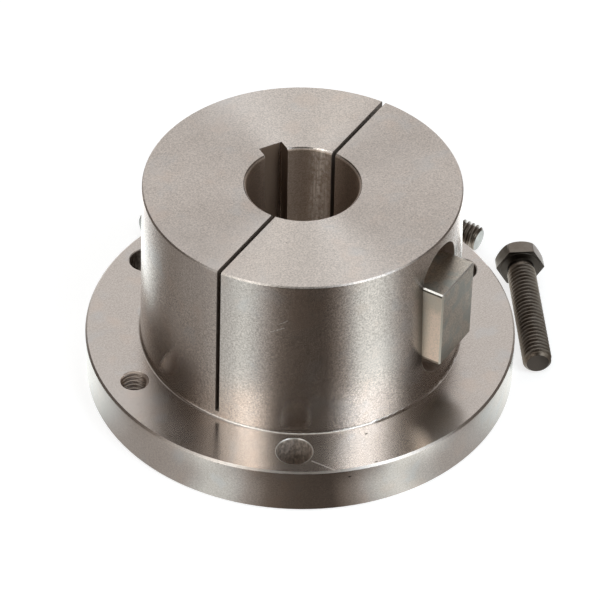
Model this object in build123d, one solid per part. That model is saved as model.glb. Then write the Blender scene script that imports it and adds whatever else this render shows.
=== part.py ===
from build123d import *
import math
import os

# Quick disconnect bushing of the split taper kind, in millimetres.
# A flanged steel body with a tapered barrel is sawn through on both sides of its
# bore, so that screws through the flange draw the barrel into a tapered hub and
# close it on the shaft. A bar key in the barrel drives the hub.
# The origin is on the bore's axis at the flange's back face, +Z runs towards the
# barrel's small end and the bore's keyseat points along +Y.

# Flange, a ledge round the barrel's foot
flange_ledge_width = 17.4625
flange_thickness = 15.875
flange_edge_break = 0.6

# Barrel
overall_length = 73.025
barrel_foot_diameter = 101.6
barrel_end_diameter = 98.425
barrel_edge_break = 0.4
barrel_foot_fillet = 0.8

# Bore and the keyseat cut along it
bore_diameter = 34.925
bore_edge_break = 0.8
keyseat_width = 7.9375
keyseat_depth = 3.85
keyseat_angle = 90.0

# Saw cut through both walls of the barrel, just off the bore's axis on the drive key's side
slit_width = 1.4
slit_foot_height = 2.5
slit_angle = 30.8
slit_offset = 0.6

# Screw holes in the flange, on one circle round the barrel's foot
hole_centre_from_barrel = 7.9375
clearance_hole_diameter = 11.1125
clearance_hole_angles = (0.0, 120.0, 240.0)
jack_hole_diameter = 9.525
jack_hole_angles = (60.0, 180.0)
clearance_hole_edge_break = 0.3

# Drive key and its end-milled seat in the barrel
key_width = 18.95
key_depth = 12.7
key_length = 28.0
key_edge_break = 0.45
key_angle = -60.0
seat_side_clearance = 0.05
seat_straight_length = 28.575
seat_depth = 6.95
seat_centre_above_middle = 1.6

# Cap screws
screw_length = 44.45
thread_diameter = 9.45
neck_diameter = 8.6
neck_length = 1.6
tip_chamfer = 1.15
head_flats_width = 14.0
head_height = 5.95
head_corner_chamfer = 1.5

# Where the cap screws lie beside the flange: the gap from the flange's rim to the
# thread where it passes nearest, how far the head lies before that point, and the
# point's bearing in degrees from +X
front_right_gap = 2.4
front_right_offset = 33.6
front_right_angle = -24.0
rear_right_gap = 5.8
rear_right_offset = 21.7
rear_right_angle = 31.0
rear_left_gap = 5.4
rear_left_offset = 28.4
rear_left_angle = 91.0

# Turn from a screw's bearing to the way its tip points
clockwise_angle = -90.0
anticlockwise_angle = 90.0

screw_places = {
    "cap_screw_front_right": (front_right_gap, front_right_offset, front_right_angle, clockwise_angle),
    "cap_screw_rear_right": (rear_right_gap, rear_right_offset, rear_right_angle, clockwise_angle),
    "cap_screw_rear_left": (rear_left_gap, rear_left_offset, rear_left_angle, anticlockwise_angle),
}

# How far a cutting solid runs past the face it starts from
overrun = 2.0

barrel_foot_radius = barrel_foot_diameter / 2
barrel_end_radius = barrel_end_diameter / 2
flange_radius = barrel_foot_radius + flange_ledge_width
hole_circle_radius = barrel_foot_radius + hole_centre_from_barrel
bore_radius = bore_diameter / 2
seat_width = key_width + 2 * seat_side_clearance
seat_height = (flange_thickness + overall_length) / 2 + seat_centre_above_middle


def direction(angle):
    """Unit vector in the floor plane at an angle in degrees from +X."""
    return Vector(math.cos(math.radians(angle)), math.sin(math.radians(angle)), 0)


def barrel_radius_at(height):
    """Radius of the barrel's taper at a height above the flange's back face."""
    share = (height - flange_thickness) / (overall_length - flange_thickness)
    return barrel_foot_radius + share * (barrel_end_radius - barrel_foot_radius)


def vertex_at(shape, x, z):
    """The vertex of a profile in the XZ plane that lies nearest to a point."""
    return shape.vertices().sort_by_distance(Vector(x, 0, z))[0]


def turned_body():
    """Flange and tapered barrel with the bore through them, all turned on one axis."""
    outline = Polyline(
        (bore_radius, 0, 0),
        (flange_radius, 0, 0),
        (flange_radius, 0, flange_thickness),
        (barrel_foot_radius, 0, flange_thickness),
        (barrel_end_radius, 0, overall_length),
        (bore_radius, 0, overall_length),
        close=True,
    )
    profile = make_face(outline)
    profile = fillet(vertex_at(profile, barrel_foot_radius, flange_thickness), barrel_foot_fillet)
    for z in (0, flange_thickness):
        profile = chamfer(vertex_at(profile, flange_radius, z), flange_edge_break)
    profile = chamfer(vertex_at(profile, barrel_end_radius, overall_length), barrel_edge_break)
    for z in (0, overall_length):
        profile = chamfer(vertex_at(profile, bore_radius, z), bore_edge_break)
    return revolve(profile, Axis.Z)


def keyseat_cut():
    """Square broach that cuts the bore's keyseat, from the axis out to the seat's floor."""
    broach = Box(
        bore_radius + keyseat_depth,
        keyseat_width,
        overall_length + 2 * overrun,
        align=(Align.MIN, Align.CENTER, Align.MIN),
    )
    return Pos(0, 0, -overrun) * Rot(0, 0, keyseat_angle) * broach


def slit_cut():
    """Saw cut across the whole barrel, down to its foot above the flange."""
    slit_foot = flange_thickness + slit_foot_height
    blade = Box(
        barrel_foot_diameter + 2 * overrun,
        slit_width,
        overall_length - slit_foot + overrun,
        align=(Align.CENTER, Align.CENTER, Align.MIN),
    )
    return Pos(0, 0, slit_foot) * Rot(0, 0, slit_angle) * Pos(0, -slit_offset, 0) * blade


def on_hole_circle(angle):
    """Location on the flange's back face at one place of the hole circle."""
    return Pos(direction(angle) * hole_circle_radius)


def clearance_hole_cut(angle):
    """Straight hole through the flange with both rims broken."""
    radius = clearance_hole_diameter / 2
    drill = Cylinder(radius, flange_thickness, align=(Align.CENTER, Align.CENTER, Align.MIN))
    rim = Cone(radius + clearance_hole_edge_break, radius, clearance_hole_edge_break,
               align=(Align.CENTER, Align.CENTER, Align.MIN))
    far_rim = Pos(0, 0, flange_thickness) * Rot(180, 0, 0) * rim
    return on_hole_circle(angle) * (drill + rim + far_rim)


def jack_hole_cut(angle):
    """Straight hole through the flange at the outer diameter of its thread."""
    return on_hole_circle(angle) * Cylinder(
        jack_hole_diameter / 2,
        flange_thickness,
        align=(Align.CENTER, Align.CENTER, Align.MIN),
    )


def seat_plane():
    """Plane of the drive key seat's floor: its X runs up the barrel, its normal outwards."""
    outwards = direction(key_angle)
    floor = outwards * (barrel_radius_at(seat_height) - seat_depth)
    return Plane(origin=floor + Vector(0, 0, seat_height), x_dir=(0, 0, 1), z_dir=outwards)


def seat_cut():
    """Pocket with a flat floor and round ends, as an end mill leaves it."""
    widest_radius = max(barrel_foot_radius, barrel_end_radius)
    reach = widest_radius - barrel_radius_at(seat_height) + seat_depth + overrun
    return seat_plane() * extrude(SlotCenterToCenter(seat_straight_length, seat_width), reach)


def make_bushing():
    body = turned_body() - keyseat_cut() - slit_cut() - seat_cut()
    for angle in clearance_hole_angles:
        body -= clearance_hole_cut(angle)
    for angle in jack_hole_angles:
        body -= jack_hole_cut(angle)
    return body


def make_drive_key():
    """Square-ended bar key that stands on the floor of its seat."""
    bar = Box(key_length, key_width, key_depth, align=(Align.CENTER, Align.CENTER, Align.MIN))
    bar = chamfer(bar.edges(), key_edge_break)
    return seat_plane() * bar


def cap_screw():
    """Fully threaded hex cap screw along +Z, with its head's underside at the origin.

    The shank has the thread's outer diameter, and two flats of the head face along Y.
    """
    shank = Cylinder(thread_diameter / 2, screw_length - neck_length,
                     align=(Align.CENTER, Align.CENTER, Align.MIN))
    shank = chamfer(shank.edges().group_by(Axis.Z)[-1], tip_chamfer)
    neck = Cylinder(neck_diameter / 2, neck_length, align=(Align.CENTER, Align.CENTER, Align.MIN))
    flats_radius = head_flats_width / 2
    hexagon = RegularPolygon(flats_radius, 6, major_radius=False)
    head = extrude(hexagon, -head_height)
    corner_radius = flats_radius / math.cos(math.radians(30))
    crown = Cylinder(corner_radius, head_height, align=(Align.CENTER, Align.CENTER, Align.MAX))
    crown = chamfer(crown.edges().group_by(Axis.Z)[0], head_corner_chamfer)
    return (head & crown) + neck + Pos(0, 0, neck_length) * shank


def lying_place(rim_gap, offset, bearing, turn):
    """Location of a cap screw that lies on the floor on one flat of its head and its tip."""
    flats_radius = head_flats_width / 2
    thread_radius = thread_diameter / 2
    tilt = math.atan2(flats_radius - thread_radius, screw_length - tip_chamfer)
    away = direction(bearing)
    along = direction(bearing + turn)
    head_centre = away * (flange_radius + rim_gap + thread_radius) - along * offset
    head_centre += Vector(0, 0, flats_radius * math.cos(tilt))
    axis = along * math.cos(tilt) - Vector(0, 0, math.sin(tilt))
    return Plane(origin=head_centre, x_dir=away, z_dir=axis)


def make_parts():
    parts = {
        "bushing_body": make_bushing(),
        "drive_key": make_drive_key(),
    }
    screw = cap_screw()
    for name, place in screw_places.items():
        parts[name] = lying_place(*place) * screw
    return parts


os.makedirs("parts", exist_ok=True)
for node, solid in make_parts().items():
    export_step(solid, f"parts/{node}.step")
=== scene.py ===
import math
from types import SimpleNamespace

import bmesh
import bpy
from mathutils import Matrix, Vector


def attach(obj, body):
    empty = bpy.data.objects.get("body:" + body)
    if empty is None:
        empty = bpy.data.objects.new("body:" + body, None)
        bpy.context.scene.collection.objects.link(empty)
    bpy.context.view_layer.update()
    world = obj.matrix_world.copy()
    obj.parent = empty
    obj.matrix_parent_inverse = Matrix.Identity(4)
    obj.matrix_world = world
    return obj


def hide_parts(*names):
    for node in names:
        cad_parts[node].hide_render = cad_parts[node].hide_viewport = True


# Looks of the quick disconnect bushing, in metres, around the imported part.
# The bushing's axis is Z, with the flange's back face on the floor.

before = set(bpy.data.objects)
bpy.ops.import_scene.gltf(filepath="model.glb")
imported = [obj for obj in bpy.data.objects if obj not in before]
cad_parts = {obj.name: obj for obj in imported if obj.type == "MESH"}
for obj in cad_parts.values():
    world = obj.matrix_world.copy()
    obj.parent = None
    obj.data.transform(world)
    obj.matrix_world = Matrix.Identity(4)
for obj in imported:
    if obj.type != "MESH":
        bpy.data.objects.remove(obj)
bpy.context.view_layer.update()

MM = 0.001

# Sizes that the part was built to
flange_radius = 68.2625 * MM
flange_top = 15.875 * MM
flange_edge_break = 0.6 * MM
overall_length = 73.025 * MM
barrel_end_radius = 49.2125 * MM
barrel_edge_break = 0.4 * MM
bore_radius = 17.4625 * MM
keyseat_half_width = 3.96875 * MM
keyseat_reach = 21.3125 * MM
slit_half_width = 0.7 * MM
slit_foot = 18.375 * MM
slit_angle = 30.8
slit_offset = 0.6 * MM
hole_circle_radius = 58.7375 * MM
clearance_hole_radius = 5.55625 * MM
clearance_hole_angles = (0.0, 120.0, 240.0)
# The first two clearance holes have darker walls
darker_hole_angles = clearance_hole_angles[:2]
jack_hole_radius = 4.7625 * MM
jack_hole_angles = (60.0, 180.0)
seat_angle = -60.0
seat_half_width = 9.525 * MM
seat_half_straight = 14.2875 * MM
seat_middle = 46.05 * MM
seat_floor_distance = 43.0 * MM
key_face_distance = 55.7 * MM
key_half_width = 9.475 * MM
key_half_length = 14.0 * MM
key_edge_break = 0.45 * MM

# Marks on the steel, in millimetres: where each starts and ends, and its half width
light_strokes = (
    ((-26.7, -57.2, 15.9), (-22.3, -64.1, 15.9), 0.16),
    ((-31.3, -38.6, 55.2), (-28.1, -41.0, 57.3), 0.14),
    ((-29.3, -40.1, 58.6), (-27.2, -41.5, 60.1), 0.12),
    ((-50.6, -2.5, 22.1), (-50.1, -5.7, 28.2), 0.16),
)
dark_strokes = (
    ((-6.5, -54.2, 15.9), (-6.0, -54.2, 15.9), 0.26),
    ((-9.9, -66.3, 15.9), (-9.2, -66.4, 15.9), 0.18),
    ((-18.5, -65.7, 12.9), (-18.1, -65.8, 12.9), 0.25),
)

# Thread, 16 to the inch
pitch = 1.5875 * MM
thread_depth = 0.94 * MM
root_flat_share = 0.25
crest_flat_share = 0.125
form_rounding = 0.55

# How finely the meshes are made
columns_round = 120
rows_per_pitch = 12
weld_distance = 0.0004 * MM
sharp_angle = math.radians(38)

# Cap screw
screw_length = 44.45 * MM
thread_radius = 4.725 * MM
neck_radius = 4.3 * MM
neck_length = 1.6 * MM
thread_run_in = 1.2 * MM
neck_fillet = 0.5 * MM
fillet_middle_share = 0.3
tip_chamfer = 1.15 * MM
tip_radius = 3.575 * MM
tip_shares = (1.0, 0.93, 0.5)
head_flats_radius = 7.0 * MM
head_corner_radius = head_flats_radius / math.cos(math.pi / 6)
head_height = 5.95 * MM
washer_face_radius = 6.6 * MM
washer_face_height = 0.25 * MM
crown_flat_radius = 5.9 * MM
crown_drop = 1.6 * MM
crown_power = 1.9
crown_shares = (0.35, 0.6, 0.75, 0.85, 0.92, 0.97)
corner_sharpness = 70
edge_width = 0.1 * MM
edge_height = 0.08 * MM

# Where each cap screw lies: gap from the flange's rim, how far the head lies before
# the nearest point, that point's bearing and the turn to the way the tip points
screw_places = {
    "cap_screw_front_right": (2.4 * MM, 33.6 * MM, -24.0, -90.0),
    "cap_screw_rear_right": (5.8 * MM, 21.7 * MM, 31.0, -90.0),
    "cap_screw_rear_left": (5.4 * MM, 28.4 * MM, 91.0, 90.0),
}

# Colour of each cap screw's tip: the front one is nearly black with painted shade, and the others are greyer
# bare steel
tip_colours_and_shade = {
    "cap_screw_front_right": (0.042, 0.031, 0.024),
    "cap_screw_rear_right": (0.115, 0.11, 0.10),
    "cap_screw_rear_left": (0.115, 0.11, 0.10),
}

# Jack hole's thread
tapped_rim_radius = 4.25 * MM
tapped_root_radius = jack_hole_radius - 0.03 * MM
tapped_depth = 0.82 * MM
insert_outer_radius = 4.76 * MM

# Camera, with angles in degrees: the bearing it looks along, its height angle, its roll,
# its distance from the origin and where the origin stands in its picture
view_bearing = 61.1
view_elevation = 40.753
view_roll = 1.0
view_distance = 1003.6 * MM
origin_right = 0.211 * MM
origin_up = -19.596 * MM
sensor_width = 36.0
lens_length = 187.44


def direction(angle):
    """Unit vector in the floor plane at an angle in degrees from +X."""
    return Vector((math.cos(math.radians(angle)), math.sin(math.radians(angle)), 0))


def clamp(value, low=0.0, high=1.0):
    return max(low, min(high, value))


def make_camera():
    """Camera at the photograph's place, with a long lens."""
    elevation = math.radians(view_elevation)
    roll = math.radians(view_roll)
    up_axis = Vector((0, 0, 1))
    ahead = direction(view_bearing) * math.cos(elevation) - up_axis * math.sin(elevation)
    right = direction(view_bearing - 90)
    up = right.cross(ahead)
    place = -right * origin_right - up * origin_up - ahead * view_distance
    image_right = right * math.cos(roll) + up * math.sin(roll)
    image_up = up * math.cos(roll) - right * math.sin(roll)
    data = bpy.data.cameras.new("photo_camera")
    data.sensor_width = sensor_width
    data.lens = lens_length
    camera = bpy.data.objects.new("photo_camera", data)
    bpy.context.scene.collection.objects.link(camera)
    turn = Matrix((image_right, image_up, -ahead)).transposed()
    camera.matrix_world = Matrix.Translation(place) @ turn.to_4x4()
    bpy.context.scene.camera = camera


class Graph:
    """Adds shader nodes to one node tree and links them."""

    def __init__(self, tree):
        self.tree = tree
        tree.nodes.clear()

    def node(self, kind, **settings):
        made = self.tree.nodes.new(kind)
        for name, value in settings.items():
            setattr(made, name, value)
        return made

    def feed(self, socket, value):
        """Links a socket to another node's output, or sets it to a constant."""
        if isinstance(value, bpy.types.NodeSocket):
            self.tree.links.new(value, socket)
        else:
            socket.default_value = value

    def math(self, operation, *values):
        made = self.node("ShaderNodeMath", operation=operation)
        for socket, value in zip(made.inputs, values):
            self.feed(socket, value)
        return made.outputs[0]

    def fold(self, operation, values):
        """Applies an operation of two values along a list of them."""
        total = values[0]
        for value in values[1:]:
            total = self.math(operation, total, value)
        return total

    def product(self, *values):
        return self.fold("MULTIPLY", values)

    def highest(self, *values):
        return self.fold("MAXIMUM", values)

    def vector(self, operation, *values):
        made = self.node("ShaderNodeVectorMath", operation=operation)
        for socket, value in zip(made.inputs, values):
            self.feed(socket, value)
        single = operation in ("DOT_PRODUCT", "LENGTH", "DISTANCE")
        return made.outputs["Value" if single else "Vector"]

    def split(self, vector):
        made = self.node("ShaderNodeSeparateXYZ")
        self.feed(made.inputs[0], vector)
        return made.outputs

    def join(self, x, y, z):
        made = self.node("ShaderNodeCombineXYZ")
        for socket, value in zip(made.inputs, (x, y, z)):
            self.feed(socket, value)
        return made.outputs[0]

    def step(self, value, low, high):
        """Smooth step from 0 at low to 1 at high; high may be the smaller one."""
        made = self.node("ShaderNodeMapRange", interpolation_type="SMOOTHSTEP")
        self.feed(made.inputs["Value"], value)
        if low < high:
            ends = (low, high, 0.0, 1.0)
        else:
            ends = (high, low, 1.0, 0.0)
        for name, end in zip(("From Min", "From Max", "To Min", "To Max"), ends):
            made.inputs[name].default_value = end
        return made.outputs["Result"]

    def noise(self, vector, size, detail=2.0, roughness=0.5, distortion=0.0):
        """Noise around 0.5 whose largest features are about one size across."""
        made = self.node("ShaderNodeTexNoise")
        self.feed(made.inputs["Vector"], vector)
        made.inputs["Scale"].default_value = 1 / size
        made.inputs["Detail"].default_value = detail
        made.inputs["Roughness"].default_value = roughness
        made.inputs["Distortion"].default_value = distortion
        return made.outputs["Fac"]

    def mix(self, share, first, second):
        made = self.node("ShaderNodeMix", data_type="FLOAT")
        for socket, value in zip(made.inputs[:1] + made.inputs[2:4], (share, first, second)):
            self.feed(socket, value)
        return made.outputs[0]

    def colour(self, share, first, second, blend="MIX"):
        made = self.node("ShaderNodeMix", data_type="RGBA", blend_type=blend)
        self.feed(made.inputs[0], share)
        for socket, value in zip(made.inputs[6:8], (first, second)):
            if isinstance(value, tuple):
                value = (*value, 1.0)
            self.feed(socket, value)
        return made.outputs[2]

    def tinted(self, share, colour, tint):
        """Colour that is multiplied by a tint where share is 1."""
        return self.colour(share, colour, self.colour(1.0, colour, tint, "MULTIPLY"))

    def ramp(self, share, stops):
        """Colour ramp through (place, colour) stops."""
        made = self.node("ShaderNodeValToRGB")
        elements = made.color_ramp.elements
        elements.remove(elements[1])
        elements[0].position = stops[0][0]
        elements[0].color = (*stops[0][1], 1.0)
        for place, colour in stops[1:]:
            elements.new(place).color = (*colour, 1.0)
        self.feed(made.inputs[0], share)
        return made.outputs[0]

    def bump(self, height, distance, normal=None):
        made = self.node("ShaderNodeBump")
        self.feed(made.inputs["Height"], height)
        made.inputs["Distance"].default_value = distance
        if normal is not None:
            self.feed(made.inputs["Normal"], normal)
        return made.outputs["Normal"]

    def mix_shaders(self, share, first, second):
        made = self.node("ShaderNodeMixShader")
        self.feed(made.inputs[0], share)
        self.feed(made.inputs[1], first.outputs[0])
        self.feed(made.inputs[2], second.outputs[0])
        return made

    def finish_with(self, output_kind, shader):
        output = self.node(output_kind)
        self.feed(output.inputs["Surface"], shader.outputs[0])


def new_material(name):
    material = bpy.data.materials.new(name)
    material.use_nodes = True
    return material, Graph(material.node_tree)


def metal_shader(g, colour, roughness, normal, tangent=None, metallic=1.0, **constants):
    """Ends a graph with one metallic shader; the constants go straight on its sockets."""
    shader = g.node("ShaderNodeBsdfPrincipled")
    g.feed(shader.inputs["Metallic"], metallic)
    g.feed(shader.inputs["Base Color"], colour)
    g.feed(shader.inputs["Roughness"], roughness)
    g.feed(shader.inputs["Normal"], normal)
    if tangent is not None:
        g.feed(shader.inputs["Tangent"], tangent)
    for name, value in constants.items():
        shader.inputs[name.replace("_", " ")].default_value = value
    g.finish_with("ShaderNodeOutputMaterial", shader)


# The masks' borders are counted in hairlines, so that each finish ends at its own edge
hairline = 0.01 * MM

# Turned steel: grain, warm and cool tints, wide clouds, pits, and painted shade on the wall beside the seat
grain_size = 0.55 * MM
grain_range = (0.3, 0.7)
grain_dark = (0.45, 0.405, 0.371)
grain_light = (0.82, 0.739, 0.678)
wall_grain_strength = 1.3
end_face_grain_strength = 0.9
rim_grain_strength = 0.5
flange_face_grain_strength = 0.55
warm_size = 10 * MM
warm_shift = (0.3, 0.1, 0.2)
warm_range = (0.56, 0.72)
warm_colour = (0.71, 0.59, 0.51)
cool_size = 12 * MM
cool_shift = (0.7, 0.4, 0.5)
cool_range = (0.56, 0.7)
cool_colour = (0.60, 0.60, 0.60)
wall_tint_share = 0.4
end_face_tint_share = 0.3
cloud_size = 26 * MM
cloud_range = (0.45, 0.75)
cloud_share = 0.3
cloud_colour = (0.705, 0.66, 0.63)
end_face_tint = (1.11, 1.11, 1.11)
flange_face_tint = (0.95, 0.95, 0.95)
# Painted shade on the wall along both sides of the key's seat, reaching a little past its ends
seat_shade_width = 6.5 * MM
seat_shade_end = 4 * MM
seat_shade_share = 0.92
seat_shade_colour = (0.13, 0.108, 0.09)
pit_spacing = 7 * MM
pit_range = (0.035, 0.02)
pit_share = 0.6
dark_mark_colour = (0.12, 0.10, 0.085)

# Cuts in that steel, with a paler band of drag marks in the bore at a bearing from +X, painted shade lower
# down in the clearance holes, and darker walls in two of them
rough_cut_size = 0.9 * MM
rough_cut_stretch = 0.6
rough_cut_range = (0.35, 0.68)
drag_mark_size = 0.7 * MM
drag_mark_stretch = 0.05
drag_mark_range = (0.3, 0.65)
drag_band_angle = 44.0
drag_band_range = (0.972, 1.0)
drag_band_colour = (0.74, 0.64, 0.565)
mottle_size = 1.6 * MM
mottle_range = (0.35, 0.62)
cut_dark = (0.31, 0.236, 0.185)
cut_light = (0.48, 0.367, 0.292)
keyseat_colour = (0.21, 0.147, 0.105)
milled_colour = (0.53, 0.44, 0.38)
drilled_dark = (0.50, 0.425, 0.37)
drilled_light = (0.88, 0.775, 0.69)
# Painted shade down the clearance holes' walls: none near the face, full below the shaded height
bright_hole_depth = 2 * MM
shaded_hole_height = 4 * MM
shaded_hole_tint = (0.58, 0.55, 0.52)
darker_hole_tint = (0.3, 0.28, 0.26)
hole_rim_colour = (0.74, 0.695, 0.645)
# Saw cut's walls: darker sawn steel, with painted shade for the narrow cut's depth
slit_colour_and_shade = (0.24, 0.195, 0.163)

# Roughness, relief and metallic share of the turned steel and its cuts
wall_roughness = 0.215
end_face_roughness = 0.43
edge_roughness = 0.38
cut_roughness = 0.48
drilled_roughness = 0.42
light_mark_roughness = 0.7
smear_size = 9 * MM
smear_stretch = 0.35
smear_strength = 0.1
turned_mark_size = 0.22 * MM
turned_mark_depth = 0.0022 * MM
grain_depth = 0.0046 * MM
rough_cut_depth = 0.5 * MM
drag_mark_depth = 0.05 * MM
rounding_reach = 0.3 * MM
rounding_depth = 0.05 * MM
stained_metallic = 0.85
keyseat_metallic = 0.7
slit_metallic = 0.2

# Drive key: drawn surface, painted light on its side with a painted reflection over the side's lower part,
# the painted shadow under its top end, and its edges with painted highlights and painted shade
key_grain_size = 0.55 * MM
key_grain_range = (0.3, 0.7)
key_grain_depth = 0.012 * MM
key_dark = (0.42, 0.385, 0.335)
key_light = (0.72, 0.66, 0.58)
key_streak_size = 0.5 * MM
key_streak_stretch = 0.06
key_streak_depth = 0.002 * MM
key_patch_size = 5.5 * MM
key_patch_range = (0.45, 0.62)
key_patch_depth = 0.02 * MM
key_patch_share = 0.7
key_patch_colour = (0.43, 0.46, 0.435)
key_dull_range = (0.35, 0.7)
key_smooth_roughness = 0.29
key_dull_roughness = 0.38
# Painted light: the key's side that faces the flange's front hole is paler
key_side_light_share = 0.6
key_side_light_colour = (0.86, 0.765, 0.64)
key_side_metallic = 0.8
# Painted reflection over that side's lower part: how wavy its top is, where it is full and where it ends in
# height and depth, its grain, colour and roughness
side_reflection_waviness = 8 * MM
side_reflection_full_height = 4 * MM
side_reflection_end_height = 8 * MM
side_reflection_full_depth = 3 * MM
side_reflection_end_depth = 6 * MM
side_reflection_grain_range = (0.35, 0.6)
side_reflection_least = 0.45
side_reflection_colour = (1.0, 0.85, 0.73)
side_reflection_roughness = 0.4
end_shadow_range = (1.3 * MM, 0.95 * MM)
end_shadow_colour = (0.16, 0.135, 0.11)
# Painted highlights on the edges round the key's ends, and painted shade on its long edges
key_edge_highlight_colour = (1.0, 0.975, 0.93)
key_edge_roughness = 0.36
key_long_edge_shade_colour = (0.52, 0.47, 0.40)

# Blackened steel of the cap screws
screw_patch_size = 3.2 * MM
screw_patch_range = (0.3, 0.7)
screw_dark = (0.175, 0.144, 0.116)
screw_light = (0.25, 0.216, 0.186)
screw_smooth_roughness = 0.32
screw_dull_roughness = 0.46
screw_grain_size = 0.3 * MM
screw_grain_range = (0.5, 0.8)
screw_grain_share = 0.5
screw_grain_colour = (0.30, 0.27, 0.24)
screw_grain_depth = 0.008 * MM
# Painted shade in the thread's roots and under the heads
thread_root_shade_tint = (0.74, 0.70, 0.66)
shade_under_head_tint = (0.14, 0.125, 0.11)


def nearest_hole(g, x, y, angles):
    """Distance from the axis of the nearest of the holes at these angles."""
    nearest = None
    for angle in angles:
        axis_place = tuple(direction(angle) * hole_circle_radius)
        distance = g.vector("DISTANCE", g.join(x, y, 0.0), axis_place)
        nearest = distance if nearest is None else g.math("MINIMUM", nearest, distance)
    return nearest


def keyseat_mask(g, x, y, radius):
    """1 on the walls of the bore's keyseat."""
    edge = keyseat_half_width + 2 * hairline
    between_walls = g.step(g.math("ABSOLUTE", x), edge + 18 * hairline, edge)
    above_floor = g.step(radius, keyseat_reach + 30 * hairline, keyseat_reach + 20 * hairline)
    past_bore = g.step(radius, bore_radius, bore_radius + 5 * hairline)
    on_keyed_side = g.math("GREATER_THAN", y, 0.0)
    return g.product(between_walls, above_floor, past_bore, on_keyed_side)


def edge_mask(g, radius, z, wall_radius, top, width):
    """1 on the small chamfer between a wall and the face on top of it."""
    in_reach = g.math("SUBTRACT", radius, wall_radius - width)
    in_height = g.math("SUBTRACT", z, top - width)
    return g.step(g.math("MINIMUM", in_reach, in_height), 2 * hairline, 5 * hairline)


def slit_mask(g, spot, z):
    """1 on the saw cut's walls."""
    slit_normal = tuple(direction(slit_angle + 90))
    from_slit = g.math("ADD", g.vector("DOT_PRODUCT", spot, slit_normal), slit_offset)
    from_slit = g.math("ABSOLUTE", from_slit)
    walls = g.step(from_slit, slit_half_width + 2 * hairline, slit_half_width + 0.5 * hairline)
    return g.product(walls, g.step(z, slit_foot - 10 * hairline, slit_foot - 2 * hairline))


def seat_masks(g, spot, z):
    """1 inside the drive key's seat, and 1 fading outwards on the wall along its sides, where shade is
    painted.
    """
    outwards = g.vector("DOT_PRODUCT", spot, tuple(direction(seat_angle)))
    across = g.vector("DOT_PRODUCT", spot, tuple(direction(seat_angle + 90)))
    from_middle = g.math("ABSOLUTE", g.math("SUBTRACT", z, seat_middle))
    past_straight = g.math("MAXIMUM", g.math("SUBTRACT", from_middle, seat_half_straight), 0.0)
    reach = g.vector("LENGTH", g.join(past_straight, across, 0.0))
    above_floor = g.step(outwards, seat_floor_distance - 10 * hairline, seat_floor_distance - 5 * hairline)
    inside = g.step(reach, seat_half_width + 4 * hairline, seat_half_width + hairline)
    beside = g.step(reach, seat_half_width + seat_shade_width, seat_half_width)
    alongside = g.step(from_middle, seat_half_straight + seat_shade_end, seat_half_straight)
    return g.product(above_floor, inside), g.product(above_floor, beside, alongside)


def stroke_mask(g, spot, start, end, half_width):
    """1 along a straight mark between two points given in millimetres."""
    start = Vector(start) * MM
    run = Vector(end) * MM - start
    from_start = g.vector("SUBTRACT", spot, tuple(start))
    share = g.math("DIVIDE", g.vector("DOT_PRODUCT", from_start, tuple(run)), run.length_squared)
    share = g.math("MINIMUM", g.math("MAXIMUM", share, 0.0), 1.0)
    distance = g.vector("DISTANCE", from_start, g.vector("MULTIPLY", tuple(run), share))
    return g.step(distance, 1.5 * half_width * MM, 0.5 * half_width * MM)


def strokes_mask(g, spot, strokes):
    """1 on every mark of a list."""
    return g.highest(*(stroke_mask(g, spot, *stroke) for stroke in strokes))


def steel_masks(g, spot):
    """Radius and height of a spot, and a mask for each face, cut, edge and mark of the bushing."""
    x, y, z = g.split(spot)
    radius = g.vector("LENGTH", g.join(x, y, 0.0))
    end_face = g.step(z, overall_length - 10 * hairline, overall_length - 2 * hairline)
    below_end = g.math("SUBTRACT", 1.0, end_face)
    flange = g.step(z, flange_top + 40 * hairline, flange_top + 10 * hairline)
    flange_face = g.product(flange, g.step(z, flange_top - 10 * hairline, flange_top - 2 * hairline))
    bore = g.product(below_end, g.step(radius, bore_radius + 60 * hairline, bore_radius + 10 * hairline))
    keyseat = g.product(below_end, keyseat_mask(g, x, y, radius))
    seat, seat_shade = seat_masks(g, spot, z)

    hole_edge = clearance_hole_radius + hairline
    from_hole = nearest_hole(g, x, y, clearance_hole_angles)
    from_darker_hole = nearest_hole(g, x, y, darker_hole_angles)
    hole_wall = g.step(from_hole, hole_edge + 4 * hairline, hole_edge)
    off_wall = g.math("SUBTRACT", 1.0, hole_wall)
    near_hole = g.step(from_hole, hole_edge + 36 * hairline, hole_edge + 30 * hairline)
    below_face = g.step(z, flange_top - hairline, flange_top - 3 * hairline)
    hole_rim = g.product(near_hole, off_wall, below_face)
    thread_edge = jack_hole_radius + 5 * hairline
    from_jack_hole = nearest_hole(g, x, y, jack_hole_angles)
    thread = g.step(from_jack_hole, thread_edge + 5 * hairline, thread_edge)
    thread = g.product(thread, g.step(z, flange_top - 2 * hairline, flange_top - 6 * hairline))

    milled = g.highest(hole_wall, thread, seat)
    flange_edge = edge_mask(g, radius, z, flange_radius, flange_top, flange_edge_break)
    barrel_edge = edge_mask(g, radius, z, barrel_end_radius, overall_length, barrel_edge_break)
    return SimpleNamespace(
        radius=radius,
        z=z,
        end_face=end_face,
        flange=flange,
        flange_face=flange_face,
        bore=bore,
        keyseat=keyseat,
        slit=slit_mask(g, spot, z),
        seat=seat,
        seat_shade=seat_shade,
        hole_wall=hole_wall,
        darker_hole_wall=g.step(from_darker_hole, hole_edge + 4 * hairline, hole_edge),
        deep_in_hole=g.step(z, flange_top - bright_hole_depth, shaded_hole_height),
        hole_rim=hole_rim,
        drilled=g.highest(hole_wall, hole_rim),
        milled=milled,
        cuts=g.highest(milled, bore, keyseat),
        edges=g.highest(g.product(flange_edge, flange), g.product(barrel_edge, below_end)),
        light_marks=strokes_mask(g, spot, light_strokes),
        dark_marks=strokes_mask(g, spot, dark_strokes),
    )


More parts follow.
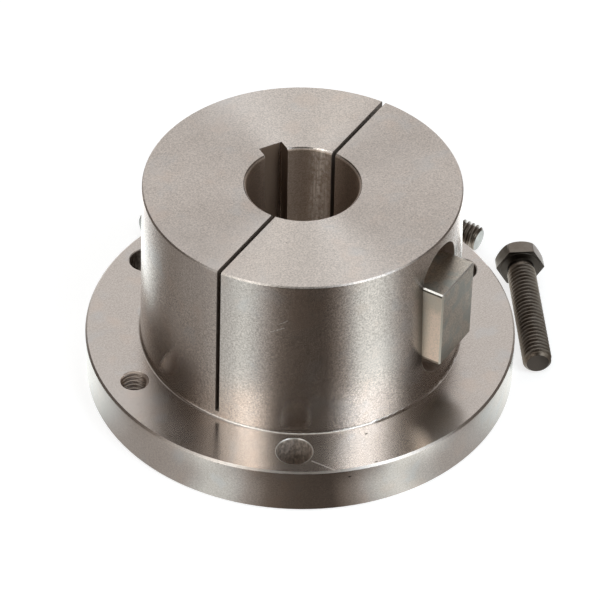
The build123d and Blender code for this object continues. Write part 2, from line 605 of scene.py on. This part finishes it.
def turned_colour(g, spot, masks, soft_grain):
    """Warm grey with speckle, slow tints, pits and dark marks, and painted shade beside the key's seat."""
    cloud = g.noise(spot, cloud_size, detail=2.0)
    warm = g.noise(g.vector("ADD", spot, warm_shift), warm_size, detail=2.0)
    cool = g.noise(g.vector("ADD", spot, cool_shift), cool_size, detail=3.0, distortion=0.3)
    tint_share = g.mix(masks.end_face, wall_tint_share, end_face_tint_share)
    colour = g.colour(soft_grain, grain_dark, grain_light)
    colour = g.colour(g.product(g.step(warm, *warm_range), tint_share), colour, warm_colour)
    colour = g.colour(g.product(g.step(cool, *cool_range), tint_share), colour, cool_colour)
    colour = g.colour(g.product(g.step(cloud, *cloud_range), cloud_share), colour, cloud_colour)
    colour = g.tinted(masks.end_face, colour, end_face_tint)
    colour = g.tinted(masks.flange_face, colour, flange_face_tint)
    # painted shade on the wall beside the key's seat
    colour = g.colour(g.product(masks.seat_shade, seat_shade_share), colour, seat_shade_colour)
    pits = g.node("ShaderNodeTexVoronoi", feature="F1")
    g.feed(pits.inputs["Vector"], spot)
    pits.inputs["Scale"].default_value = 1 / pit_spacing
    pit = g.product(g.step(pits.outputs["Distance"], *pit_range), pit_share)
    return g.colour(g.highest(pit, masks.dark_marks), colour, dark_mark_colour)


def cut_colour(g, spot, masks, soft_grain, rough_cut, drag_marks):
    """Browner steel of the cuts, with a paler band of drag marks in the bore beside the saw cut, and painted
    shade lower down in the clearance holes.
    """
    mottle = g.noise(spot, mottle_size, detail=3.0, roughness=0.7)
    towards_band = g.vector("DOT_PRODUCT", spot, tuple(direction(drag_band_angle)))
    band = g.step(g.product(towards_band, 1 / bore_radius), *drag_band_range)
    band = g.product(band, g.step(drag_marks, *drag_mark_range), g.step(mottle, *mottle_range))
    colour = g.colour(soft_grain, cut_dark, cut_light)
    colour = g.colour(g.product(band, masks.bore), colour, drag_band_colour)
    colour = g.colour(masks.keyseat, colour, keyseat_colour)
    colour = g.colour(masks.milled, colour, milled_colour)
    drilled = g.colour(g.step(rough_cut, *rough_cut_range), drilled_dark, drilled_light)
    # painted shade lower down in each clearance hole
    drilled = g.tinted(masks.deep_in_hole, drilled, shaded_hole_tint)
    # darker walls in the first two clearance holes
    drilled = g.tinted(masks.darker_hole_wall, drilled, darker_hole_tint)
    return g.colour(masks.hole_wall, colour, drilled)


def steel_roughness(g, spot, masks):
    """Duller on the end face, in the cuts, on edges and marks, and smeared a little everywhere."""
    roughness = g.mix(masks.end_face, wall_roughness, end_face_roughness)
    roughness = g.mix(masks.edges, roughness, edge_roughness)
    roughness = g.mix(masks.cuts, roughness, cut_roughness)
    roughness = g.mix(masks.drilled, roughness, drilled_roughness)
    roughness = g.mix(masks.light_marks, roughness, light_mark_roughness)
    smear = g.noise(g.vector("MULTIPLY", spot, (1.0, 1.0, smear_stretch)), smear_size, detail=3.0)
    return g.math("ADD", roughness, g.product(g.math("SUBTRACT", smear, 0.5), smear_strength))


def steel_normal(g, masks, soft_grain, rough_cut, drag_marks):
    """Turned marks round the axis, grain and rough cuts, and the two outer edges rounded over."""
    rings = g.noise(g.join(masks.radius, 0.0, masks.z), turned_mark_size, detail=1.0)
    rough_cut = g.product(rough_cut, g.highest(masks.hole_wall, masks.seat))
    drag_marks = g.product(drag_marks, g.highest(masks.bore, masks.keyseat))
    normal = g.bump(rings, turned_mark_depth)
    normal = g.bump(soft_grain, grain_depth, normal)
    normal = g.bump(rough_cut, rough_cut_depth, normal)
    normal = g.bump(drag_marks, drag_mark_depth, normal)
    for height in (flange_top - flange_edge_break, overall_length - barrel_edge_break):
        normal = g.bump(g.step(masks.z, height, height - rounding_reach), rounding_depth, normal)
    return normal


def machined_steel():
    """Turned steel: fine grain, ring marks, faint tints, marks of use and darker cuts."""
    material, g = new_material("machined_steel")
    spot = g.node("ShaderNodeTexCoord").outputs["Object"]
    masks = steel_masks(g, spot)
    grain = g.step(g.noise(spot, grain_size, detail=4.0, roughness=0.85), *grain_range)
    on_barrel = g.mix(masks.end_face, wall_grain_strength, end_face_grain_strength)
    on_flange = g.mix(masks.flange_face, rim_grain_strength, flange_face_grain_strength)
    strength = g.mix(masks.flange, on_barrel, on_flange)
    soft_grain = g.math("ADD", g.product(g.math("SUBTRACT", grain, 0.5), strength), 0.5)
    stretched = g.vector("MULTIPLY", spot, (1.0, 1.0, rough_cut_stretch))
    rough_cut = g.noise(stretched, rough_cut_size, detail=4.0, distortion=0.4)
    drawn_out = g.vector("MULTIPLY", spot, (1.0, 1.0, drag_mark_stretch))
    drag_marks = g.noise(drawn_out, drag_mark_size, detail=3.0, roughness=0.7)

    colour = turned_colour(g, spot, masks, soft_grain)
    colour = g.colour(masks.cuts, colour, cut_colour(g, spot, masks, soft_grain, rough_cut, drag_marks))
    colour = g.colour(masks.hole_rim, colour, hole_rim_colour)
    # saw cut's walls: darker steel with painted shade
    colour = g.colour(masks.slit, colour, slit_colour_and_shade)
    roughness = steel_roughness(g, spot, masks)
    normal = steel_normal(g, masks, soft_grain, rough_cut, drag_marks)
    tangent = g.vector("NORMALIZE", g.vector("CROSS_PRODUCT", (0.0, 0.0, 1.0), spot))
    metallic = g.mix(g.highest(masks.bore, masks.drilled), 1.0, stained_metallic)
    metallic = g.mix(masks.keyseat, metallic, keyseat_metallic)
    metallic = g.mix(masks.slit, metallic, slit_metallic)
    metal_shader(g, colour, roughness, normal, tangent, metallic, Anisotropic=0.85, Anisotropic_Rotation=0.25)
    return material


def key_masks(g, spot):
    """Height and reach of a spot, and masks for the key's edges, its side that takes painted light and the
    painted shadow under its top end.
    """
    z = g.split(spot)[2]
    outwards = g.vector("DOT_PRODUCT", spot, tuple(direction(seat_angle)))
    across = g.vector("DOT_PRODUCT", spot, tuple(direction(seat_angle + 90)))
    from_middle = g.math("ABSOLUTE", g.math("SUBTRACT", z, seat_middle))
    from_face = g.math("SUBTRACT", key_face_distance, outwards)
    from_side = g.math("SUBTRACT", key_half_width, g.math("ABSOLUTE", across))
    from_end = g.math("SUBTRACT", key_half_length, from_middle)
    from_long_edge = g.math("MAXIMUM", from_face, from_side)
    from_any_edge = g.math("MINIMUM", from_long_edge, from_end)
    from_any_edge = g.math("MAXIMUM", from_any_edge, g.math("MINIMUM", from_face, from_side))
    edge_range = (key_edge_break + 3 * hairline, key_edge_break - 3 * hairline)
    side = g.step(across, 40 * hairline - key_half_width, 10 * hairline - key_half_width)
    in_upper_half = g.step(z, 0.0, seat_middle)
    return SimpleNamespace(
        z=z,
        outwards=outwards,
        edges=g.step(from_any_edge, *edge_range),
        long_edges=g.step(from_long_edge, *edge_range),
        side=side,
        end_shadow=g.product(g.step(from_end, *end_shadow_range), in_upper_half, side),
    )


def side_reflection_mask(g, masks, grain, patches):
    """1 where a painted reflection brightens the side that faces the flange's front hole, over its lower
    part, broken up by the grain.
    """
    wavy_height = g.math("ADD", masks.z, g.product(g.math("SUBTRACT", patches, 0.5), side_reflection_waviness))
    low = g.step(wavy_height, seat_middle + side_reflection_end_height, seat_middle + side_reflection_full_height)
    fade = (key_face_distance - side_reflection_end_depth, key_face_distance - side_reflection_full_depth)
    near_face = g.step(masks.outwards, *fade)
    grainy = g.mix(g.step(grain, *side_reflection_grain_range), side_reflection_least, 1.0)
    return g.product(masks.side, low, near_face, grainy)


def key_steel():
    """Cold drawn bar: smooth, greenish grey, with lengthwise marks, dull patches, painted highlights on the
    edges round its ends, painted shade on its long edges, and painted light on one side.
    """
    material, g = new_material("key_steel")
    spot = g.node("ShaderNodeTexCoord").outputs["Object"]
    masks = key_masks(g, spot)
    drawn_out = g.vector("MULTIPLY", spot, (1.0, 1.0, key_streak_stretch))
    streaks = g.noise(drawn_out, key_streak_size, detail=2.0)
    grain = g.noise(spot, key_grain_size, detail=3.0, roughness=0.7)
    patches = g.noise(spot, key_patch_size, detail=4.0, roughness=0.55, distortion=0.3)
    side_reflection = side_reflection_mask(g, masks, grain, patches)

    patchy = g.product(g.step(patches, *key_patch_range), key_patch_share)
    colour = g.colour(g.step(grain, *key_grain_range), key_dark, key_light)
    colour = g.colour(patchy, colour, key_patch_colour)
    # painted light on the key's side
    colour = g.colour(g.product(masks.side, key_side_light_share), colour, key_side_light_colour)
    # painted reflection over the side's lower part
    colour = g.colour(side_reflection, colour, side_reflection_colour)
    colour = g.colour(masks.end_shadow, colour, end_shadow_colour)
    # painted highlights on the key's edges, then painted shade on its long edges
    colour = g.colour(masks.edges, colour, key_edge_highlight_colour)
    colour = g.colour(masks.long_edges, colour, key_long_edge_shade_colour)
    roughness = g.mix(g.step(patches, *key_dull_range), key_smooth_roughness, key_dull_roughness)
    roughness = g.mix(side_reflection, roughness, side_reflection_roughness)
    roughness = g.mix(masks.edges, roughness, key_edge_roughness)
    normal = g.bump(streaks, key_streak_depth)
    normal = g.bump(grain, key_grain_depth, normal)
    normal = g.bump(patches, key_patch_depth, normal)
    metallic = g.mix(side_reflection, g.mix(masks.side, 1.0, key_side_metallic), key_side_metallic)
    metal_shader(g, colour, roughness, normal, metallic=metallic)
    return material


def screw_masks(g, spot):
    """Distance from the nearest screw's axis, 1 under any head where shade is painted, and 1 on each tip with
    its colour and, on the front one, painted shade.
    """
    from_axis = 1.0
    shade_under_head = 0.0
    at_tips = []
    for name, place in screw_places.items():
        lying = lying_place(*place)
        axis = lying.to_3x3() @ Vector((0, 0, 1))
        from_head = g.vector("SUBTRACT", spot, tuple(lying.translation))
        to_axis = g.vector("LENGTH", g.vector("CROSS_PRODUCT", from_head, tuple(axis)))
        from_axis = g.math("MINIMUM", from_axis, to_axis)
        along = g.vector("DOT_PRODUCT", from_head, tuple(axis))
        past_face = g.step(along, -washer_face_height - 15 * hairline, -washer_face_height - 5 * hairline)
        before_thread = g.step(along, neck_length, 0.5 * neck_length)
        near_axis = g.step(to_axis, 2 * head_flats_radius, 1.5 * head_flats_radius)
        shade_under_head = g.highest(shade_under_head, g.product(past_face, before_thread, near_axis))
        to_tip = g.vector("DISTANCE", from_head, tuple(axis * screw_length))
        at_tip = g.step(to_tip, tip_radius + 6 * hairline, tip_radius - 2 * hairline)
        at_tips.append((at_tip, tip_colours_and_shade[name]))
    return from_axis, shade_under_head, at_tips


def dark_screw_steel():
    """Blackened steel with an oily film, painted shade in the thread's roots and under the heads, and bare
    steel on the tips with painted shade on the front one.
    """
    material, g = new_material("dark_screw_steel")
    spot = g.node("ShaderNodeTexCoord").outputs["Object"]
    from_axis, shade_under_head, at_tips = screw_masks(g, spot)
    patches = g.step(g.noise(spot, screw_patch_size, detail=3.0), *screw_patch_range)
    grain = g.noise(spot, screw_grain_size, detail=2.0, roughness=0.6)
    grainy = g.product(g.step(grain, *screw_grain_range), screw_grain_share)
    shaded_roots = g.step(from_axis, thread_radius - 5 * hairline, thread_radius - 50 * hairline)
    colour = g.colour(patches, screw_dark, screw_light)
    colour = g.colour(grainy, colour, screw_grain_colour)
    # painted shade in the thread's roots
    colour = g.tinted(shaded_roots, colour, thread_root_shade_tint)
    # painted shade under the heads
    colour = g.tinted(shade_under_head, colour, shade_under_head_tint)
    # bare steel on the tips, painted shade on the front one
    for at_tip, tip_colour in at_tips:
        colour = g.colour(at_tip, colour, tip_colour)
    roughness = g.mix(patches, screw_smooth_roughness, screw_dull_roughness)
    normal = g.bump(grain, screw_grain_depth)
    metal_shader(g, colour, roughness, normal, Coat_Weight=0.25, Coat_Roughness=0.3)
    return material


def thread_height(share):
    """Height of the thread's form over one pitch: 0 at the root and 1 at the crest."""
    rise = 1 - abs(2 * share - 1)
    rise = clamp((rise - root_flat_share) / (1 - crest_flat_share - root_flat_share))
    rounded = rise * rise * (3 - 2 * rise)
    return rise + form_rounding * (rounded - rise)


def add_ring(bm, radius_at, height_at):
    """Ring of points; radius_at and height_at give the radius and height at each turn from 0 to 1."""
    ring = []
    for column in range(columns_round):
        turn = column / columns_round
        radius = radius_at(turn)
        angle = 2 * math.pi * turn
        ring.append(bm.verts.new((radius * math.cos(angle), radius * math.sin(angle), height_at(turn))))
    return ring


def join_rings(bm, lower, upper):
    """Faces between two rings, looking outwards when the first one is the lower."""
    for column in range(columns_round):
        after = (column + 1) % columns_round
        bm.faces.new((lower[column], lower[after], upper[after], upper[column]))


def close_ring(bm, ring, height, upwards):
    """Fan that closes a ring at its middle."""
    middle = bm.verts.new((0, 0, height))
    for column in range(columns_round):
        after = (column + 1) % columns_round
        corners = (ring[column], ring[after], middle)
        bm.faces.new(corners if upwards else corners[::-1])


def add_thread(bm, low, high, radius_at, outwards):
    """Surface whose rows follow a right-hand helix from one height to another.

    radius_at takes a height and the share of the pitch there, from root to root.
    """
    rows = math.ceil(((high - low) / pitch + 1) * rows_per_pitch) + 1
    grid = []
    for column in range(columns_round):
        turn = column / columns_round
        angle = 2 * math.pi * turn
        points = []
        for row in range(rows + rows_per_pitch):
            height = clamp(low + (row / rows_per_pitch + turn - 1) * pitch, low, high)
            share = ((height - low) / pitch - turn) % 1
            radius = radius_at(height, share)
            points.append(bm.verts.new((radius * math.cos(angle), radius * math.sin(angle), height)))
        grid.append(points)
    for column in range(columns_round):
        after = (column + 1) % columns_round
        shift = rows_per_pitch if after == 0 else 0
        for row in range(rows - 1):
            corners = (
                grid[column][row],
                grid[after][row + shift],
                grid[after][row + shift + 1],
                grid[column][row + 1],
            )
            bm.faces.new(corners if outwards else corners[::-1])


def finish_piece(bm, name, place):
    """Welds the mesh, marks its sharp edges and puts it in the scene."""
    bmesh.ops.remove_doubles(bm, verts=bm.verts, dist=weld_distance)
    loose = [v for v in bm.verts if not v.link_faces]
    bmesh.ops.delete(bm, geom=loose, context="VERTS")
    bmesh.ops.recalc_face_normals(bm, faces=bm.faces)
    for face in bm.faces:
        face.smooth = True
    for edge in bm.edges:
        if len(edge.link_faces) == 2 and edge.calc_face_angle() > sharp_angle:
            edge.smooth = False
    bm.transform(place)
    mesh = bpy.data.meshes.new(name)
    bm.to_mesh(mesh)
    bm.free()
    piece = bpy.data.objects.new(name, mesh)
    bpy.context.scene.collection.objects.link(piece)
    return piece


def hexagon_radius(turn):
    """Radius of the head's outline at a turn, with its corners just rounded."""
    total = 0.0
    for side in range(6):
        towards = math.cos(2 * math.pi * turn - math.pi / 3 * (side + 0.5))
        total += max(towards, 0.0) ** corner_sharpness
    return head_flats_radius * total ** (-1 / corner_sharpness)


def crown_height(radius):
    """Height of the head's crown, which rolls off towards the corners."""
    share = clamp((radius - crown_flat_radius) / (head_corner_radius - crown_flat_radius))
    return -head_height + crown_drop * share ** crown_power


def screw_radius(height, share):
    """Radius of the screw's shank at a height, over the run-in and the tip's chamfer."""
    cut = clamp((height - neck_length) / thread_run_in)
    threaded = thread_radius - thread_depth * (1 - thread_height(share))
    radius = neck_radius + (threaded - neck_radius) * cut
    to_tip = (screw_length - height) * (thread_radius - tip_radius) / tip_chamfer
    return min(radius, tip_radius + to_tip)


def cap_screw_mesh():
    """Whole cap screw along +Z with its head's underside at the origin."""
    bm = bmesh.new()
    underside = -washer_face_height
    fillet_middle = fillet_middle_share * neck_fillet
    rings = []
    for share in crown_shares:
        rings.append(add_ring(
            bm,
            lambda turn: hexagon_radius(turn) * share,
            lambda turn: crown_height(hexagon_radius(turn) * share),
        ))
    rings.append(add_ring(bm, hexagon_radius, lambda turn: crown_height(hexagon_radius(turn)) + edge_height))
    rings.append(add_ring(bm, hexagon_radius, lambda turn: underside - edge_width))
    rings.append(add_ring(bm, lambda turn: hexagon_radius(turn) - edge_width, lambda turn: underside))
    for radius, height in (
        (washer_face_radius + edge_width, underside),
        (washer_face_radius, underside + edge_height),
        (washer_face_radius - edge_width, 0.0),
        (neck_radius + neck_fillet, 0.0),
        (neck_radius + fillet_middle, fillet_middle),
        (neck_radius, neck_fillet),
        (neck_radius, neck_length),
    ):
        rings.append(add_ring(bm, lambda turn: radius, lambda turn: height))
    for lower, upper in zip(rings, rings[1:]):
        join_rings(bm, lower, upper)
    close_ring(bm, rings[0], -head_height, upwards=False)
    add_thread(bm, neck_length, screw_length, screw_radius, outwards=True)
    tip = []
    for share in tip_shares:
        tip.append(add_ring(bm, lambda turn: tip_radius * share, lambda turn: screw_length))
    for outer, inner in zip(tip, tip[1:]):
        join_rings(bm, outer, inner)
    close_ring(bm, tip[-1], screw_length, upwards=True)
    return bm


def lying_place(rim_gap, offset, bearing, turn):
    """Place of a cap screw that lies on the floor on one flat of its head and its tip."""
    tilt = math.atan2(head_flats_radius - thread_radius, screw_length - tip_chamfer)
    away = direction(bearing)
    along = direction(bearing + turn)
    middle = away * (flange_radius + rim_gap + thread_radius) - along * offset
    middle.z = head_flats_radius * math.cos(tilt)
    axis = along * math.cos(tilt) - Vector((0, 0, math.sin(tilt)))
    side = axis.cross(away)
    return Matrix.Translation(middle) @ Matrix((away, side, axis)).transposed().to_4x4()


def make_cap_screws(material):
    for name, place in screw_places.items():
        piece = finish_piece(cap_screw_mesh(), name + "_threaded", lying_place(*place))
        piece.data.materials.append(material)
        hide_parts(name)
        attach(piece, "root")


def tapped_radius(height, share):
    """Radius of the jack hole's thread, with the rim's small countersink at both ends."""
    threaded = tapped_root_radius - tapped_depth * thread_height(share)
    to_face = min(height, flange_top - height)
    return max(threaded, tapped_rim_radius - to_face)


def make_jack_hole_thread(name, angle, material):
    """Thread of one jack hole: a thin lining of the flange's hole."""
    bm = bmesh.new()
    add_thread(bm, 0.0, flange_top, tapped_radius, outwards=False)
    for height in (0.0, flange_top):
        inner = add_ring(
            bm,
            lambda turn: tapped_radius(height, (height / pitch - turn) % 1),
            lambda turn: height,
        )
        outer = add_ring(bm, lambda turn: insert_outer_radius, lambda turn: height)
        join_rings(bm, inner, outer)
    low = add_ring(bm, lambda turn: insert_outer_radius, lambda turn: 0.0)
    high = add_ring(bm, lambda turn: insert_outer_radius, lambda turn: flange_top)
    join_rings(bm, low, high)
    piece = finish_piece(bm, name, Matrix.Translation(direction(angle) * hole_circle_radius))
    piece.data.materials.append(material)
    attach(piece, "root")


# Studio seen by the metal, as levels with 1 as white, at bearings in degrees
# counterclockwise from the camera's right: the walls, the floor away from the part, the
# ground right round the flange and the ground a little farther out
wall_ring = (
    (-180, 0.07), (-170, 0.09), (-163, 0.26), (-157, 0.6), (-150, 0.85), (-143, 1.0), (-130, 3.1),
    (-121, 2.25), (-112, 0.35), (-106, 0.055), (-67, 0.05), (-61, 0.32), (-56, 1.3), (-46, 3.45), (-34, 3.65),
    (-24, 2.4), (-15, 0.36), (-6, 0.09), (8, 0.1), (37, 0.08), (49, 0.33), (61, 0.6), (76, 0.83),
    (104, 0.84), (118, 0.66), (130, 0.36), (144, 0.055),
)
floor_ring = (
    (-180, 0.3), (-166, 0.31), (-152, 0.38), (-142, 0.62), (-130, 0.95), (-118, 0.53),
    (-106, 0.17), (-94, 0.09), (-82, 0.067), (-70, 0.062), (-58, 0.29), (-46, 1.0), (-34, 1.12),
    (-22, 0.56), (-10, 0.225), (2, 0.22), (14, 0.26), (26, 0.28), (40, 0.4), (50, 0.74), (62, 1.6),
    (74, 1.95), (98, 1.85), (110, 1.7), (122, 1.18), (134, 0.73), (146, 0.3), (158, 0.235), (170, 0.24),
)
ground_ring = (
    (-180, 1.45), (-170, 1.36), (-164, 1.08), (-158, 0.8), (-152, 0.55), (-145, 0.42), (-132, 0.39),
    (-122, 0.46), (-115, 0.85), (-109, 0.8), (-104, 0.4), (-98, 0.14), (-92, 0.085), (-86, 0.07), (-80, 0.07),
    (-74, 0.3), (-67, 0.83), (-61, 1.08), (-54, 0.68), (-46, 0.48), (-38, 0.49), (-30, 0.58),
    (-20, 0.97), (-8, 1.33), (12, 1.3), (30, 2.0), (50, 2.1), (70, 1.3), (90, 0.6), (110, 0.9), (140, 0.9),
)
far_ground_ring = (
    (-180, 0.25), (-174, 0.17), (-157, 0.23), (-148, 0.23), (-139, 0.36), (-130, 0.58), (-120, 1.1),
    (-111, 0.5), (-102, 0.125), (-93, 0.084), (-84, 0.058), (-75, 0.048), (-65, 0.27), (-57, 1.22),
    (-47, 1.44), (-38, 0.6), (-29, 0.17), (-20, 0.12), (-8, 0.2), (5, 0.5), (17, 1.2), (28, 2.2), (40, 2.6),
    (60, 2.4), (100, 1.9), (140, 2.1), (157, 1.7), (166, 1.1), (175, 0.4),
)

# How far from the axis both rings of ground reach, and the width over which each fades
ground_reach = 78.0 * MM
ground_fade = 6.0 * MM
far_ground_reach = 98.0 * MM
far_ground_fade = 11.0 * MM

# Hues by level, from brown where it is dark to cool where it is bright, and the walls' own
dark_hues = (
    (0.0, (1.25, 1.0, 0.82)),
    (0.1, (1.18, 1.0, 0.865)),
    (0.3, (1.06, 1.0, 0.945)),
    (0.6, (1.0, 1.0, 1.0)),
)
bright_level_range = (0.35, 0.8)
bright_hue = (0.94, 1.0, 1.0)
left_wall_hue = (1.06, 1.0, 0.98)
right_wall_hue = (0.955, 1.0, 1.09)

# Most that the lower part of the walls shines, and the level of the panel overhead
low_wall_level = 1.15
overhead_level = 0.95

# Heights over which the walls, their lower part and the panel overhead fade in, on a
# sphere of radius 1; the panel starts higher up except on the side away from the camera
wall_foot_range = (-0.4, -0.05)
low_wall_range = (0.52, 0.38)
overhead_range = (0.68, 0.8)
overhead_rise = 0.18

# The same for directions: towards the camera's side, and towards its left or right
overhead_rise_range = (-0.7, -0.25)
wall_hue_range = (0.15, 0.35)
bright_hue_range = (-0.4, 0.3)
on_left_range = (-0.1, -0.4)
on_right_range = (0.1, 0.4)

# Floor: its size in metres, its own light and the grey that takes the soft shadow
floor_size = 6.0
floor_glow = 0.72
floor_grey = 0.5


def with_hue(g, level, front):
    """Level with the hue such a light has: brown where dark and, where front is 1, cool where bright."""
    level = g.colour(1.0, level, g.ramp(level, dark_hues), "MULTIPLY")
    return g.tinted(g.product(g.step(level, *bright_level_range), front), level, bright_hue)


def ring_levels(g, x, y, ring):
    """Level of one ring of the studio in the direction of x and y."""
    camera_right = view_bearing - 90
    bearing = g.math("SUBTRACT", g.math("ARCTAN2", y, x), math.radians(camera_right))
    place = g.math("FRACT", g.math("ADD", g.math("DIVIDE", bearing, 2 * math.pi), 0.5))
    stops = [((angle + 180) / 360, (level,) * 3) for angle, level in ring]
    stops.append((1.0, stops[0][1]))
    return g.ramp(place, stops)


def make_studio():
    """White for the camera, and soft panels with dark gaps for the metal."""
    world = bpy.data.worlds.new("studio")
    bpy.context.scene.world = world
    world.use_nodes = True
    g = Graph(world.node_tree)
    towards = g.node("ShaderNodeTexCoord").outputs["Generated"]
    x, y, z = g.split(towards)
    facing = g.vector("DOT_PRODUCT", towards, tuple(-direction(view_bearing)))
    sideways = g.vector("DOT_PRODUCT", towards, tuple(direction(view_bearing - 90)))
    in_front = g.step(facing, *wall_hue_range)
    on_left = g.product(in_front, g.step(sideways, *on_left_range))
    on_right = g.product(in_front, g.step(sideways, *on_right_range))
    walls = ring_levels(g, x, y, wall_ring)
    walls = g.tinted(on_left, walls, left_wall_hue)
    walls = g.tinted(on_right, walls, right_wall_hue)
    walls = g.colour(g.step(z, *low_wall_range), walls, (low_wall_level,) * 3, "DARKEN")
    level = g.colour(g.step(z, *wall_foot_range), ring_levels(g, x, y, floor_ring), walls)
    rise = g.product(g.step(facing, *overhead_rise_range), overhead_rise)
    overhead = g.step(g.math("SUBTRACT", z, rise), *overhead_range)
    level = g.colour(overhead, level, (overhead_level,) * 3)
    panels = g.node("ShaderNodeBackground")
    g.feed(panels.inputs["Color"], with_hue(g, level, g.step(facing, *bright_hue_range)))
    white = g.node("ShaderNodeBackground")
    white.inputs["Color"].default_value = (1.0, 1.0, 1.0, 1.0)
    camera_ray = g.node("ShaderNodeLightPath").outputs["Is Camera Ray"]
    g.finish_with("ShaderNodeOutputWorld", g.mix_shaders(camera_ray, panels, white))


def make_floor():
    """White floor with a soft shadow for the camera; the metal sees ground round the flange only."""
    bpy.ops.mesh.primitive_plane_add(size=floor_size, location=(0, 0, 0))
    floor = bpy.context.object
    floor.name = "floor"
    material, g = new_material("white_floor")
    glow = g.node("ShaderNodeEmission")
    glow.inputs["Strength"].default_value = floor_glow
    paint = g.node("ShaderNodeBsdfDiffuse")
    paint.inputs["Color"].default_value = (floor_grey, floor_grey, floor_grey, 1.0)
    seen = g.node("ShaderNodeAddShader")
    g.feed(seen.inputs[0], glow.outputs[0])
    g.feed(seen.inputs[1], paint.outputs[0])
    spot = g.node("ShaderNodeTexCoord").outputs["Object"]
    x, y, _ = g.split(spot)
    distance = g.vector("LENGTH", spot)
    far = g.step(distance, ground_reach, ground_reach + ground_fade)
    level = g.colour(far, ring_levels(g, x, y, ground_ring), ring_levels(g, x, y, far_ground_ring))
    ground = g.node("ShaderNodeEmission")
    g.feed(ground.inputs["Color"], with_hue(g, level, 1.0))
    away = g.step(distance, far_ground_reach, far_ground_reach + far_ground_fade)
    reflected = g.mix_shaders(away, ground, g.node("ShaderNodeBsdfTransparent"))
    camera_ray = g.node("ShaderNodeLightPath").outputs["Is Camera Ray"]
    g.finish_with("ShaderNodeOutputMaterial", g.mix_shaders(camera_ray, reflected, seen))
    floor.data.materials.append(material)


def dress_node(name, material):
    """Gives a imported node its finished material."""
    for material_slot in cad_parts[name].material_slots:
        material_slot.material = material


make_camera()
make_studio()
make_floor()
steel = machined_steel()
dress_node("bushing_body", steel)
dress_node("drive_key", key_steel())
make_cap_screws(dark_screw_steel())
for number, hole_angle in enumerate(jack_hole_angles, start=1):
    make_jack_hole_thread(f"jack_hole_thread_{number}", hole_angle, steel)
bpy.context.scene.view_settings.view_transform = "Standard"
